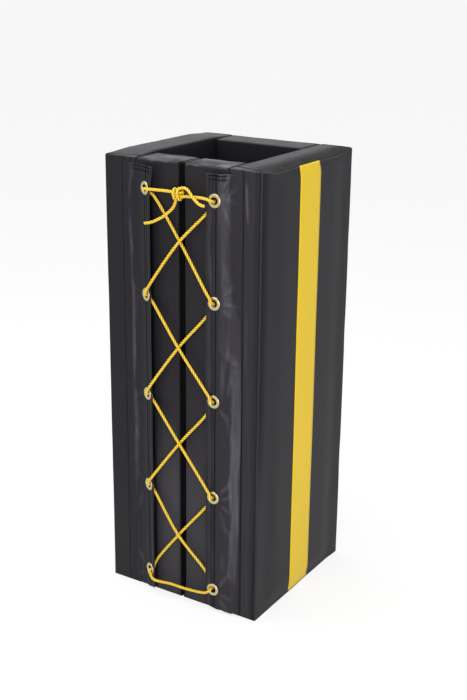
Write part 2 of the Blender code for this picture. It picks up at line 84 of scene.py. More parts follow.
def rough(points, size, seed=0):
    """Smooth noise from -1 to 1 whose lumps are about size across."""
    scaled = np.asarray(points, float) / np.asarray(size, float) + seed
    return np.array([noise.noise(Vector(p)) for p in scaled.reshape(-1, 3)])


def placed(points):
    return (np.array(points, float) + (0, FRONT_PLANE, 0)).tolist()


def linked(name, data):
    made = bpy.data.objects.new(name, data)
    bpy.context.scene.collection.objects.link(made)
    return made


def piece(name, points, faces, look, light=None):
    """A mesh from points on the drawing; light is painted on it: above 0 painted highlight and wear, below 0 painted
    shade.
    """
    mesh = bpy.data.meshes.new(name)
    mesh.from_pydata(placed(points), [], faces)
    mesh.materials.append(look)
    mesh.shade_smooth()
    if light is not None:
        # The edge attribute holds the painted highlight, wear and painted shade.
        mesh.attributes.new("edge", "FLOAT", "POINT").data.foreach_set("value", light)
    made = linked(name, mesh)
    return made


# %% [markdown]
# ## The view
# The camera stands where the photograph was taken: a little above the pad and to its right.
# Its place was solved from six corners of the pad, so straight edges fall on each other.

# %% Camera
AZIMUTH, ELEVATION, ROLL = radians(31.98), radians(18.85), radians(0.6)
back = Vector((sin(AZIMUTH) * cos(ELEVATION), -cos(AZIMUTH) * cos(ELEVATION), sin(ELEVATION)))
right = Vector((cos(AZIMUTH), sin(AZIMUTH), 0))
up = back.cross(right)
turn = Matrix((right * cos(ROLL) + up * sin(ROLL), up * cos(ROLL) - right * sin(ROLL), back))
camera = linked("photo_view", bpy.data.cameras.new("photo_view"))
camera.data.lens, camera.data.sensor_width = 59.137, 36
camera.matrix_world = Matrix.Translation((1.40945, -2.23214, 1.48444)) @ turn.transposed().to_4x4()
bpy.context.scene.camera = camera
bpy.context.scene.view_settings.view_transform = "Standard"

# %% [markdown]
# ## Studio
# Black vinyl shows little colour of its own. What one sees is the room in its sheen, so the
# room is bright and plain: a white world, a large soft lamp above and a weaker one in front.

# %% Node helpers
def wire(node, inputs):
    """Gives a node its inputs: values or sockets."""
    for name, value in inputs.items():
        if isinstance(value, bpy.types.NodeSocket):
            node.id_data.links.new(value, node.inputs[name])
        else:
            node.inputs[name].default_value = value


def put(tree, kind, inputs=None, **settings):
    """Adds a node and gives back its outputs."""
    made = tree.nodes.new(kind)
    for name, value in settings.items():
        setattr(made, name, value)
    wire(made, inputs or {})
    return made.outputs


def maths(tree, operation, *values, **settings):
    return put(tree, "ShaderNodeMath", dict(enumerate(values)), operation=operation, **settings)[0]


def node_group(kind, name, inputs, outputs):
    """An empty group; an input has a kind of socket, or a number as its default."""
    tree = bpy.data.node_groups.new(name, kind)
    for label, given in inputs.items():
        number = not isinstance(given, str)
        sort = "NodeSocket" + ("Float" if number else given)
        made = tree.interface.new_socket(label, in_out="INPUT", socket_type=sort)
        if number:
            made.default_value = given
    for label, sort in outputs.items():
        tree.interface.new_socket(label, in_out="OUTPUT", socket_type="NodeSocket" + sort)
    return tree, tree.nodes.new("NodeGroupInput").outputs, tree.nodes.new("NodeGroupOutput")


# %% World, lamps and floor
AMBIENT, PAPER_GLOW = 0.7, 0.8


def lamp(name, place, aim, size, watts):
    made = linked(name, bpy.data.lights.new(name, "AREA"))
    made.data.shape, made.data.energy = "RECTANGLE", watts
    made.data.size, made.data.size_y = size
    way = (Vector(aim) - Vector(place)).to_track_quat("-Z", "Y")
    made.matrix_world = Matrix.Translation(place) @ way.to_matrix().to_4x4()


def emptied(owner):
    owner.use_nodes = True
    owner.node_tree.nodes.clear()
    return owner.node_tree


def shown_white(tree):
    """1 for what the camera sees, also in a mirror or glass; 0 for the light on the object."""
    path = put(tree, "ShaderNodeLightPath")
    seen = maths(tree, "MAXIMUM", path["Is Camera Ray"], path["Is Glossy Ray"])
    return maths(tree, "MAXIMUM", seen, path["Is Transmission Ray"])


world = bpy.data.worlds.new("studio")
bpy.context.scene.world = world
tree = emptied(world)
strength = maths(tree, "ADD", maths(tree, "MULTIPLY", shown_white(tree), 1 - AMBIENT), AMBIENT)
sky = put(tree, "ShaderNodeBackground", {"Color": (1, 1, 1, 1), "Strength": strength})
put(tree, "ShaderNodeOutputWorld", {"Surface": sky[0]})
lamp("overhead_softbox", (-0.3, -0.4, 3.2), (0, 0, 0.6), (2.6, 2.2), 78)
lamp("low_softbox", (1.9, -3, 0.95), (0, 0, 0.45), (1.5, 1.7), 54)

bpy.ops.mesh.primitive_plane_add(size=240, location=(0, 0, -0.0006))
floor = bpy.context.object
floor.name = "studio_floor"
look = bpy.data.materials.new("white_paper")
floor.data.materials.append(look)
tree = emptied(look)
paper = put(tree, "ShaderNodeBsdfDiffuse", {"Color": (0.93, 0.93, 0.93, 1)})[0]
glow = put(tree, "ShaderNodeEmission", {"Color": (1, 1, 1, 1), "Strength": 1})[0]
share = maths(tree, "MULTIPLY", shown_white(tree), PAPER_GLOW)
both = put(tree, "ShaderNodeMixShader", {0: share, 1: paper, 2: glow})[0]
put(tree, "ShaderNodeOutputMaterial", {"Surface": both})
print("studio and camera at", [round(c, 2) for c in camera.location])

# %% [markdown]
# ## Finishes
# The covers are coated fabric: a fine pebbled grain, a satin sheen, and edges made lighter by wear and painted
# highlights. Grain and the mask of wear and painted highlight are used by both vinyls, so each is a node group, built
# once, that gives back heights and masks. The shader itself stays in each material.

# %% Texture helpers
def object_place(tree):
    return put(tree, "ShaderNodeTexCoord")["Object"]


def attribute(tree, name):
    return put(tree, "ShaderNodeAttribute", attribute_name=name)["Fac"]


def lumps(tree, at, scale, detail, **more):
    return put(tree, "ShaderNodeTexNoise", {"Vector": at, "Scale": scale, "Detail": detail, **more})[0]


def stretched(tree, at, scale):
    return put(tree, "ShaderNodeMapping", {"Vector": at, "Scale": scale})[0]


def cut_to(tree, value, low, high):
    return put(tree, "ShaderNodeMapRange", {"Value": value, "From Min": low, "From Max": high})[0]


def bumped(tree, height, distance):
    return put(tree, "ShaderNodeBump", {"Height": height, "Distance": distance})[0]


def between(tree, share, low, high):
    colour = isinstance(high, tuple)
    low, high = ((*end, 1) if isinstance(end, tuple) else end for end in (low, high))
    first, kind, result = (6, "RGBA", 2) if colour else (2, "FLOAT", 0)
    return put(tree, "ShaderNodeMix", {0: share, first: low, first + 1: high}, data_type=kind)[result]


def look_named(name):
    made = bpy.data.materials.new(name)
    made.use_nodes = True
    return made, made.node_tree, made.node_tree.nodes["Principled BSDF"]


# %% Shared node groups
def pebble_group():
    """Height of pressed leather grain, with soft puckers under it."""
    tree, given, result = node_group(
        "ShaderNodeTree", "vinyl_pebble", {"Grain": 900, "Pucker": 22, "Pucker Share": 0.5},
        {"Height": "Float", "Mottle": "Float"},
    )
    at = object_place(tree)
    cells = put(tree, "ShaderNodeTexVoronoi", {"Vector": at, "Scale": given["Grain"]}, feature="SMOOTH_F1")
    folds = lumps(tree, stretched(tree, at, (1, 1, 0.35)), given["Pucker"], 3)
    low = maths(tree, "MULTIPLY", folds, given["Pucker Share"])
    grain = maths(tree, "MULTIPLY", cells["Distance"], 0.06)
    wire(result, {"Height": maths(tree, "ADD", low, grain), "Mottle": lumps(tree, at, 7, 4, Roughness=0.6)})
    return tree


def wear_and_highlight_group():
    """Worn coating and painted highlight, mostly along edges that the mesh marks, broken up by noise."""
    tree, given, result = node_group(
        "ShaderNodeTree", "rubbed_edge", {"Break Up": 60, "Even": 0}, {"Wear And Highlight": "Float"}
    )
    spots = cut_to(tree, lumps(tree, object_place(tree), given["Break Up"], 4), 0.42, 0.72)
    broken = maths(tree, "MAXIMUM", spots, given["Even"])
    wire(result, {"Wear And Highlight": maths(tree, "MULTIPLY", attribute(tree, "edge"), broken, use_clamp=True)})
    return tree


PEBBLE, WEAR_AND_HIGHLIGHT = pebble_group(), wear_and_highlight_group()

# %% [markdown]
# The two vinyls differ in colour, sheen and how much they pucker. The lifted flaps are thinner
# and looser than the covers, so they get a look of their own with deeper puckers.

# %% Vinyl
# Painted shade darkens the vinyl towards DEEP_SHADE and makes it as rough as DULL.
DEEP_SHADE, DULL = (0.001, 0.001, 0.0012), 0.92


def vinyl(name, dark, light, rubbed, gloss, sheen, pucker, share, depth, even):
    """sheen is the roughness of plain places, mottled places, and places that are worn and painted with highlight;
    even is how unbroken that mask is.
    """
    made, tree, shader = look_named(name)
    pebble = put(tree, "ShaderNodeGroup", {"Pucker": pucker, "Pucker Share": share}, node_tree=PEBBLE)
    height, mottle = pebble
    wear_and_highlight = put(tree, "ShaderNodeGroup", {"Even": even}, node_tree=WEAR_AND_HIGHLIGHT)[0]
    # Below 0 the edge attribute is painted shade, in colour and in a duller sheen.
    shade = maths(tree, "MULTIPLY", attribute(tree, "edge"), -1, use_clamp=True)
    plain = between(tree, shade, between(tree, mottle, dark, light), DEEP_SHADE)
    dull = between(tree, shade, between(tree, mottle, sheen[0], sheen[1]), DULL)
    # Above 0 it mixes in the lighter colour: wear and painted highlight.
    wire(shader, {
        "Base Color": between(tree, wear_and_highlight, plain, rubbed), "Roughness": between(tree, wear_and_highlight, dull, sheen[2]),
        "Specular IOR Level": gloss, "Normal": bumped(tree, height, depth),
    })
    return made


COVER = vinyl(
    "black_cover_vinyl", (0.0125, 0.0112, 0.0138), (0.017, 0.0155, 0.0184), (0.11, 0.105, 0.12),
    0.14, (0.4, 0.5, 0.55), 14, 0.3, 0.0012, 0.72,
)
FLAP = vinyl(
    "black_flap_vinyl", (0.0095, 0.0082, 0.0115), (0.014, 0.0124, 0.0165), (0.084, 0.079, 0.098),
    0.18, (0.34, 0.44, 0.36), 30, 0.6, 0.0016, 0.75,
)
STRIPE = vinyl(
    "yellow_stripe_vinyl", (0.67, 0.455, 0.012), (0.71, 0.495, 0.018), (0.71, 0.54, 0.08),
    0.18, (0.38, 0.46, 0.5), 10, 0.2, 0.0008, 0,
)

# %% [markdown]
# The grommets are spun from soft brass, so their polish has faint turning lines and a little brown in the hollows.
# The thread is a twisted nylon. The rope's fibres run along each strand, and the hollows between the strands get
# painted shade.

# %% Brass, thread and rope
def brass():
    made, tree, shader = look_named("spun_brass")
    at = object_place(tree)
    cloud, lines = lumps(tree, at, 160, 5), lumps(tree, at, 1400, 2)
    wire(shader, {
        "Base Color": between(tree, cloud, (0.46, 0.385, 0.18), (0.66, 0.6, 0.37)), "Metallic": 1,
        "Roughness": between(tree, cloud, 0.24, 0.42), "Normal": bumped(tree, lines, 0.00008),
    })
    return made


def thread():
    made, tree, shader = look_named("black_thread")
    tuft = lumps(tree, object_place(tree), 1500, 4)
    wire(shader, {
        "Base Color": between(tree, tuft, (0.006, 0.006, 0.007), (0.018, 0.018, 0.02)),
        "Roughness": 0.75, "Normal": bumped(tree, tuft, 0.0002),
    })
    return made


def laid_fibre():
    made, tree, shader = look_named("yellow_rope")
    on_strand = put(tree, "ShaderNodeCombineXYZ", {0: attribute(tree, "along"), 1: attribute(tree, "around")})
    yarn = lumps(tree, stretched(tree, on_strand[0], (60, 9, 1)), 4, 3)
    bright = between(tree, yarn, (0.8, 0.52, 0.008), (0.88, 0.67, 0.024))
    # Painted shade in the hollows between the strands.
    painted_shade = cut_to(tree, attribute(tree, "hollow"), 0.08, 0.55)
    wire(shader, {
        "Base Color": between(tree, painted_shade, bright, (0.4, 0.16, 0.003)), "Roughness": 0.55,
        "Sheen Weight": 0.1, "Normal": bumped(tree, yarn, 0.0003),
    })
    return made


BRASS, THREAD, ROPE_LOOK = brass(), thread(), laid_fibre()

# %% [markdown]
# ## Growing pieces with nodes
# Rope, stitches and grommets repeat, so Geometry Nodes make them. Each tree gets a carrier, a
# bare mesh of points or edges, and named sizes. What it grows is kept as a plain mesh.

# %% Helpers for node trees
def growing_tree(name, *sizes, **others):
    inputs = {"Geometry": "Geometry"} | {size: "Float" for size in sizes} | others
    return node_group("GeometryNodeTree", name, inputs, {"Geometry": "Geometry"})


def close_tree(tree, result, geometry, look):
    real = put(tree, "GeometryNodeRealizeInstances", {"Geometry": geometry})[0]
    dressed = put(tree, "GeometryNodeSetMaterial", {"Geometry": real, "Material": look})
    wire(result, {"Geometry": dressed[0]})
    return tree


def grown(name, points, edges, tree, sizes, turns=()):
    carrier = linked(name + "_carrier", bpy.data.meshes.new(name + "_carrier"))
    carrier.data.from_pydata(placed(points), edges, [])
    if turns:
        mark = carrier.data.attributes.new("turn", "FLOAT_VECTOR", "POINT")
        mark.data.foreach_set("vector", np.ravel(turns))
    modifier = carrier.modifiers.new(tree.name, "NODES")
    modifier.node_group = tree
    for item in tree.interface.items_tree:
        if item.in_out == "INPUT" and item.name in sizes:
            modifier[item.identifier] = sizes[item.name]
    ready = carrier.evaluated_get(bpy.context.evaluated_depsgraph_get())
    made = linked(name, bpy.data.meshes.new_from_object(ready))
    made.data.name = name
    bpy.data.objects.remove(carrier)
    made.data.shade_smooth()
    print(name, len(made.data.polygons), "faces")
    return made


# %% [markdown]
# ## The lace
# One rope, 6.4 mm thick and 3.16 m long, zigzags through the grommets and is tied at the top.
# Its route repeats the imported model's points, written in tenths of a millimetre. The rope is three strands laid
# round each other: a profile of three lobes that turns once in every 24 mm.

# %% The lace's route
ROUTE = [tuple(c / 10000 for c in point) for point in (
    (774, -2212, 9831), (706, -2222, 9839), (636, -2227, 9865), (559, -2227, 9918), (470, -2217, 9995),
    (377, -2202, 10087), (290, -2182, 10145), (170, -2159, 10150), (44, -2162, 10105), (58, -2194, 10072),
    (70, -2211, 9993), (80, -2194, 9914), (86, -2132, 9883), (92, -2072, 9916), (100, -2054, 9988),
    (118, -2069, 10035), (130, -2108, 10046), (110, -2136, 10033), (68, -2132, 10029), (18, -2132, 10029),
    (-82, -2132, 10029), (-282, -2152, 10038), (-718, -2211, 10037), (-800, -2197, 10033),
    (-861, -2167, 10018), (-845, -2110, 10010), (-823, -2055, 9998), (-790, -2065, 9938), (-700, -2047, 9887),
    (30, -2057, 8920), (747, -2144, 7941), (882, -2156, 7764), (908, -2151, 7694), (906, -2092, 7673),
    (902, -2033, 7652), (873, -2030, 7583), (745, -2033, 7362), (14, -2077, 6510), (-718, -2212, 5457),
    (-842, -2179, 5279), (-865, -2166, 5209), (-842, -2111, 5188), (-818, -2057, 5167), (-790, -2065, 5097),
    (-700, -2109, 5047), (27, -2147, 4156), (747, -2144, 3241), (882, -2156, 3074), (908, -2151, 3004),
    (906, -2092, 2983), (902, -2033, 2962), (873, -2030, 2893), (745, -2033, 2702), (-45, -2027, 1740),
    (-700, -2047, 867), (-793, -2063, 659), (-820, -2057, 591), (-842, -2111, 571), (-862, -2167, 552),
    (-826, -2186, 491), (-718, -2212, 385), (-230, -2137, 365), (230, -2127, 365), (747, -2143, 440),
    (852, -2157, 509), (903, -2151, 559), (906, -2092, 575), (905, -2033, 593), (877, -2030, 659),
    (745, -2033, 917), (-45, -2096, 1740), (-700, -2109, 2722), (-790, -2065, 2772), (-818, -2057, 2842),
    (-842, -2111, 2863), (-865, -2166, 2884), (-842, -2179, 2954), (-718, -2212, 3122), (27, -2077, 4156),
    (745, -2033, 5027), (873, -2030, 5278), (902, -2033, 5347), (906, -2092, 5368), (908, -2151, 5389),
    (882, -2156, 5459), (747, -2145, 5616), (14, -2147, 6510), (-700, -2109, 7452), (-790, -2065, 7502),
    (-818, -2057, 7572), (-842, -2111, 7593), (-865, -2166, 7614), (-842, -2179, 7684), (-718, -2212, 7852),
    (30, -2127, 8920), (745, -2033, 9677), (873, -2030, 9857), (907, -2033, 9918), (909, -2092, 9931),
    (903, -2151, 9941), (837, -2158, 9961), (747, -2142, 9977), (318, -2122, 9973), (118, -2132, 9957),
    (18, -2132, 9957), (-32, -2132, 9957), (-74, -2136, 9953), (-94, -2108, 9940), (-82, -2069, 9951),
    (-64, -2054, 9998), (-56, -2072, 10070), (-50, -2132, 10103), (-44, -2194, 10072), (-34, -2211, 9993),
    (-22, -2194, 9914), (-8, -2162, 9881), (-53, -2177, 9718), (-138, -2192, 9620), (-301, -2222, 9481),
    (-468, -2237, 9386), (-628, -2235, 9313), (-808, -2217, 9270),
)]


def smooth_path(route, step):
    """Points of a centripetal curve through the route."""
    ends = [2 * route[0] - route[1], *route, 2 * route[-1] - route[-2]]
    path = []
    for four in zip(ends, ends[1:], ends[2:], ends[3:]):
        t = np.cumsum([0, *(max((b - a).length, 1e-6) ** 0.5 for a, b in zip(four, four[1:]))])
        count = max(2, int(np.ceil((four[2] - four[1]).length / step)))
        for x in t[1] + (t[2] - t[1]) * np.arange(count) / count:
            a = [four[j].lerp(four[j + 1], (x - t[j]) / (t[j + 1] - t[j])) for j in range(3)]
            b = [a[j].lerp(a[j + 1], (x - t[j]) / (t[j + 2] - t[j])) for j in range(2)]
            path.append(b[0].lerp(b[1], (x - t[1]) / (t[2] - t[1])))
    return [*path, route[-1].copy()]


lace_path = smooth_path([Vector(p) for p in ROUTE], 0.0012)
lace_length = sum((b - a).length for a, b in zip(lace_path, lace_path[1:]))
print("lace", round(lace_length, 3), "m,", len(lace_path), "points")


# %% Laid rope as a node tree
def noted(tree, geometry, name, value):
    stored = {"Geometry": geometry, "Name": name, "Value": value}
    return put(tree, "GeometryNodeStoreNamedAttribute", stored, data_type="FLOAT")[0]


def walked(tree, mesh, step):
    line = put(tree, "GeometryNodeMeshToCurve", {"Mesh": mesh})[0]
    return put(tree, "GeometryNodeResampleCurve", {"Curve": line, "Length": step}, mode="LENGTH")[0]


def rope_tree(look):
    """Sweeps a three-lobed profile along the carrier and turns it as it goes."""
    tree, given, result = growing_tree("laid_rope", "Radius", "Turn Length", "Step", "Groove")
    even = walked(tree, given["Geometry"], given["Step"])
    along = put(tree, "GeometryNodeSplineParameter")["Length"]
    tilt = maths(tree, "MULTIPLY", maths(tree, "DIVIDE", along, given["Turn Length"]), 2 * pi)
    tilted = put(tree, "GeometryNodeSetCurveTilt", {"Curve": even, "Tilt": tilt})[0]

    ring = put(tree, "GeometryNodeCurvePrimitiveCircle", {"Resolution": 24, "Radius": 1})[0]
    at = put(tree, "GeometryNodeInputPosition")[0]
    x, y, _ = put(tree, "ShaderNodeSeparateXYZ", {0: at})
    angle = maths(tree, "ARCTAN2", y, x)
    wave = maths(tree, "ABSOLUTE", maths(tree, "COSINE", maths(tree, "MULTIPLY", angle, 1.5)))
    hollow = maths(tree, "SUBTRACT", 1, maths(tree, "SQRT", wave))
    reach = maths(tree, "SUBTRACT", 1, maths(tree, "MULTIPLY", hollow, given["Groove"]))
    radius = maths(tree, "MULTIPLY", reach, given["Radius"])
    scaled = put(tree, "ShaderNodeVectorMath", {0: at, "Scale": radius}, operation="SCALE")[0]
    ring = noted(tree, noted(tree, ring, "hollow", hollow), "around", maths(tree, "DIVIDE", angle, 2 * pi))
    lobed = put(tree, "GeometryNodeSetPosition", {"Geometry": ring, "Position": scaled})[0]
    swept = put(tree, "GeometryNodeCurveToMesh", {
        "Curve": noted(tree, tilted, "along", along), "Profile Curve": lobed, "Fill Caps": True,
    })
    return close_tree(tree, result, swept[0], look)


# %% The lace itself
lace_points = [(p.x, p.y - FRONT_PLANE, p.z) for p in lace_path]
lace_edges = [(i, i + 1) for i in range(len(lace_points) - 1)]
sizes = {"Radius": ROPE / 2 + 0.0002, "Turn Length": 0.024, "Step": 0.0014, "Groove": 0.42}
lace = grown("yellow_lace", lace_points, lace_edges, rope_tree(ROPE_LOOK), sizes)
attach(lace, "right_side")
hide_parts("lace")
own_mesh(lace)
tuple(ROUTE[0])

# %% [markdown]
# ## Covers
# A cover is a sleeve of vinyl pulled over foam: nearly flat, a little crowned, with soft
# vertical edges and a wide soft shoulder along its outer top. It is made as one skin over a
# box of grid points. Each point is moved to the rounded edge nearest to it, then swollen,
# then pulled in where a seam runs. The points lie close where the form turns and far apart
# where it is flat, which keeps the mesh light.

# %% A box of grid points
def stations(length, seams=(), coarse=0.008, fine=0.002):
    """Places along one side, close together near both ends and at seams."""
    reach = min(0.026, length / 3)
    near = np.linspace(0, reach, int(reach / fine) + 1)
    middle = np.linspace(reach, length - reach, max(2, int((length - 2 * reach) / coarse)) + 1)
    close = [place for seam in seams for place in np.arange(min(seam) - 0.0028, max(seam) + 0.003, 0.0009)]
    places = np.sort(np.concatenate([near, middle, length - near, close]))
    return places[np.append(True, np.diff(places) > 0.0004)]


def quads(tall, wide, start=0):
    corners = (start + i * wide + j for i in range(tall - 1) for j in range(wide - 1))
    return [(q, q + 1, q + wide + 1, q + wide) for q in corners]


def grid_box(us, vs, zs):
    """The six faces of a box as grids whose edges coincide."""
    x, y, z = np.eye(3)
    u, v, up = [u * x for u in us], [v * y for v in vs], [h * z for h in zs]
    points, faces = [], []
    for first, second, far in ((u, up, v[-1]), (up, v, u[-1]), (v, u, up[-1])):
        for origin, flip in ((0 * x, False), (far, True)):
            grid = quads(len(first), len(second), len(points))
            faces += [(b, c, d, a) if flip else (a, d, c, b) for a, b, c, d in grid]
            points += [origin + a + b for a in first for b in second]
    return np.array(points), faces


def rounded(points, size, radii):
    """Moves a box's points to ellipsoidal edges; radii are low and high for each axis."""
    size, radii = np.array(size), np.array(radii)
    high = points > size / 2
    r = np.where(high, radii[:, 1], radii[:, 0])
    core = np.where(high, np.minimum(points, size - r), np.maximum(points, r))
    away = (points - core) / r
    unit = away / np.maximum(np.linalg.norm(away, axis=1, keepdims=True), 1e-9)
    normal = unit / r
    return core + unit * r, normal / np.linalg.norm(normal, axis=1, keepdims=True)


# %% [markdown]
# ### Seams and swell
# The end strips are sewn in 14 mm from the front edge, and their seam runs on over the top.
# A seam is a groove about 1 mm deep. The swell of the big face is 3 mm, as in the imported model,
# and slow noise makes it uneven, because foam and vinyl never settle perfectly flat.

# %% One cover
SEAM_DEPTH = 0.0012


def groove(distance, width=0.0012):
    return np.exp(-((distance / width) ** 2))


def edge_mask(normal):
    return np.clip((1 - np.abs(normal).max(axis=1)) / 0.3, 0, 1)


def cover_points(
    width, seed, crown, soft, edge, shoulder, wrinkle, upright, over_top, mesh=0.008, rim=0.4, flare=(0, 0),
    dome=0, shade=None, rubbed=(), deep_end=None, pale=(0, 0), strip=(0, 0), creases=((), ()),
):
    """Points of one cover: u along it, v outwards from the column, z up."""
    points, faces = grid_box(
        stations(width, coarse=mesh), stations(THICK, upright[0] + upright[1], 0.003), stations(HEIGHT)
    )
    size = (width, THICK, HEIGHT)
    shaped, normal = rounded(points, size, (soft, (0.005, edge[0]), (0.004, edge[1])))
    u, v, z = points.T
    foot = ease((0.06 - z) / 0.05)[:, None]
    pressed = rounded(points, size, ((0.003, 0.003), (0.003, 0.003), (0.002, 0.004)))[0]
    shaped = shaped * (1 - foot) + pressed * foot

    inside = np.minimum(u, width - u)
    high = ease((z - HEIGHT + 0.03) / 0.028)
    across = ease((inside - min(0.03, 0.12 * width)) / (0.16 * width))
    across *= ease((np.minimum(z, HEIGHT - z) - 0.005) / 0.035)
    swell = crown * across * (1 + 0.2 * rough(points, 0.24, seed))
    swell -= 0.0009 * (1 - across) * ease((rough(points, (0.07, 0.07, 0.11), seed + 3) + 0.2) / 0.9)
    swell += (flare[0] + (flare[1] - flare[0]) * z / HEIGHT) * (1 - ease(u / 0.06))
    shaped[:, 1] += swell * ease((v / THICK - 0.55) / 0.3)
    drop = shoulder * np.clip(v / THICK - 0.35, 0, 1) ** 2 / 0.42 * (0.12 + 0.88 * ease(inside / 0.07))
    folds = rough(points, (0.03, 0.016, 0.05), seed + 7) + 0.5 * rough(points, (0.011, 0.007, 0.05), seed + 8)
    shaped[:, 2] -= (drop - dome * ease(inside / 0.09) + wrinkle * (0.5 + 0.4 * folds)) * high

    on_top = normal[:, 2] > 0.6
    # Painted highlights along the rounded edges and on the wrinkles of the top.
    light = rim * edge_mask(normal) * np.where(np.abs(normal[:, 2]) > 0.3, 1, 0.6)
    light += 0.6 * wrinkle / 0.002 * high * ease((folds + 0.6) / 1.5) * on_top
    # Patches on the tops: small dents, made lighter as wear and painted highlight.
    for u0, v0, long, wide, much in rubbed:
        spot = np.exp(-(((u - u0) / long) ** 2 + ((v - v0) / wide) ** 2)) * on_top
        light += much * spot * ease((folds + 0.9) / 1.8)
        shaped[:, 2] += 0.0014 * spot * folds
    # Painted shade and light from the block's own rule.
    if shade:
        light += shade(u, v, z, normal)
    if deep_end:
        away = u if deep_end == "low" else width - u
        shaped[:, 1] -= 0.012 * groove(away, 0.0042) * (v / THICK) ** 2 * (1 - foot[:, 0])

    pull = np.zeros(len(points))
    streak = 0.7 + 0.4 * rough(points, (9, 0.004, 0.12), seed + 15)
    for end, from_end in enumerate((u, width - u)):
        here = (np.abs(normal[:, 0]) > 0.75) * (from_end < width / 2)
        # Painted light on an end face.
        light += pale[end] * streak * here * ease((THICK - 0.016 - v) / 0.004)
        for low, top in upright[end]:
            off = v - (low + (top - low) * z / HEIGHT)
            pull += 1.3 * groove(off, 0.0018) * here * (z < HEIGHT - 0.01)
            # Painted shade in the seam's groove.
            light -= 0.45 * groove(off, 0.0024) * here
        low, top = over_top[end]
        off = from_end - (low + (top - low) * v / THICK)
        pull += 2 * groove(off) * on_top
        # Painted shade in the groove of the seam over the top.
        light -= 1.2 * groove(off, 0.0028) * on_top
        # A band of painted highlight on the top, beyond that seam.
        light += strip[end] * (0.75 + 0.5 * folds) * ease((-off - 0.001) / 0.002) * on_top * (from_end < 0.03)
        for v0, z0, v1, z1, half, height in creases[end]:
            line = v0 + (v1 - v0) * (z - z0) / (z1 - z0)
            ridge = groove(v - line, half) * ease((z - z0) / 0.03) * ease((z1 - z) / 0.03) * here
            pull -= height / SEAM_DEPTH * ridge
            # Painted highlight along the crease's ridge.
            light += min(1, (height / 0.0018) ** 2) * ridge
    shaped -= normal * (SEAM_DEPTH * pull)[:, None]
    sag = 0.0005 * rough(points, (0.05, 0.05, 0.22), seed + 11) * edge_mask(normal)
    shaped += normal * (sag - 0.0004)[:, None] * (z > 0.004)[:, None]
    return shaped, faces, np.clip(light, -1, 1)


def faced_outwards(mesh, merge=0):
    grid = bmesh.new()
    grid.from_mesh(mesh)
    if merge:
        bmesh.ops.remove_doubles(grid, verts=grid.verts, dist=merge)
    bmesh.ops.recalc_face_normals(grid, faces=grid.faces)
    grid.to_mesh(mesh)
    grid.free()


def cover(body, ends, origin, turn, **form):
    points, faces, light = cover_points(**form)
    (x, y, z), c, s = points.T, round(cos(radians(turn))), round(sin(radians(turn)))
    world = np.column_stack([origin[0] + c * x - s * y, origin[1] + s * x + c * y, z])
    made = piece(body + "_pad", world, faces, COVER, light)
    faced_outwards(made.data, merge=2e-6)
    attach(made, body)
    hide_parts(f"{body}_cover", f"{body}_foam", *(f"{body}_{end}_gusset" for end in ends))
    print(made.name, len(made.data.polygons), "faces")
    return made


# %% [markdown]
# Light is painted on a cover as well as shape: above 0 it is painted highlight and wear, below 0 painted shade, where
# the sheen is also duller. Each kind of block has a rule for it.

# %% Shade on the covers
BACK_WIDTH = 2 * INNER - 0.0006
HALF_WIDTH = (BACK_WIDTH - 0.003) / 2


def side_shade(u, v, z, normal):
    """Painted shade, with a duller sheen, towards the front edge, most of all high up; also on the low corner and the
    shoulder.
    """
    from_front = DEPTH - u
    face = -0.5 * ease((z - 0.22) / 0.35) * (1 - ease((from_front - 0.004) / 0.04)) - 0.05
    corner = (normal[:, 0] > 0.7) * ease((v - 0.066) / 0.004) * ease((0.26 - z) / 0.1)
    shoulder = (normal[:, 2] > 0.7) * ease((v / THICK - 0.35) / 0.45) * (from_front > 0.012)
    return face * (normal[:, 1] > 0.9) - 0.15 * corner - 0.58 * shoulder


def left_shade(u, v, z, normal):
    # Painted shade on the front end face, weaker near the floor.
    return (0.12 * ease((0.4 - z) / 0.3) - 0.2) * (normal[:, 0] < -0.7)


def half_shade(inner, bright, flap_shadow):
    """Painted shade in the valley between the halves, painted shadow under the flap, and painted light near the
    floor.
    """
    def shade(u, v, z, normal):
        away = u if inner == "low" else HALF_WIDTH - u
        # Painted light low on the front face, and a little painted shade over all of it.
        face = bright * ease((0.62 - z) / 0.35) * (0.75 + 0.25 * ease(z / 0.2)) - 0.12
        face -= flap_shadow * ease((away - 0.07) / 0.007) * ease((1.04 - z) / 0.02)
        valley = 0.32 * groove(away, 0.008) + (np.abs(normal[:, 0]) > 0.5) * (away < 0.02)
        # Painted shade on the front part of the tops.
        top = (0.08 + 0.22 * ease((v - 0.03) / 0.03)) * (normal[:, 2] > 0.6)
        return face * (normal[:, 1] > 0.5) - valley * (normal[:, 2] < 0.5) - top
    return {"shade": shade, "deep_end": inner}
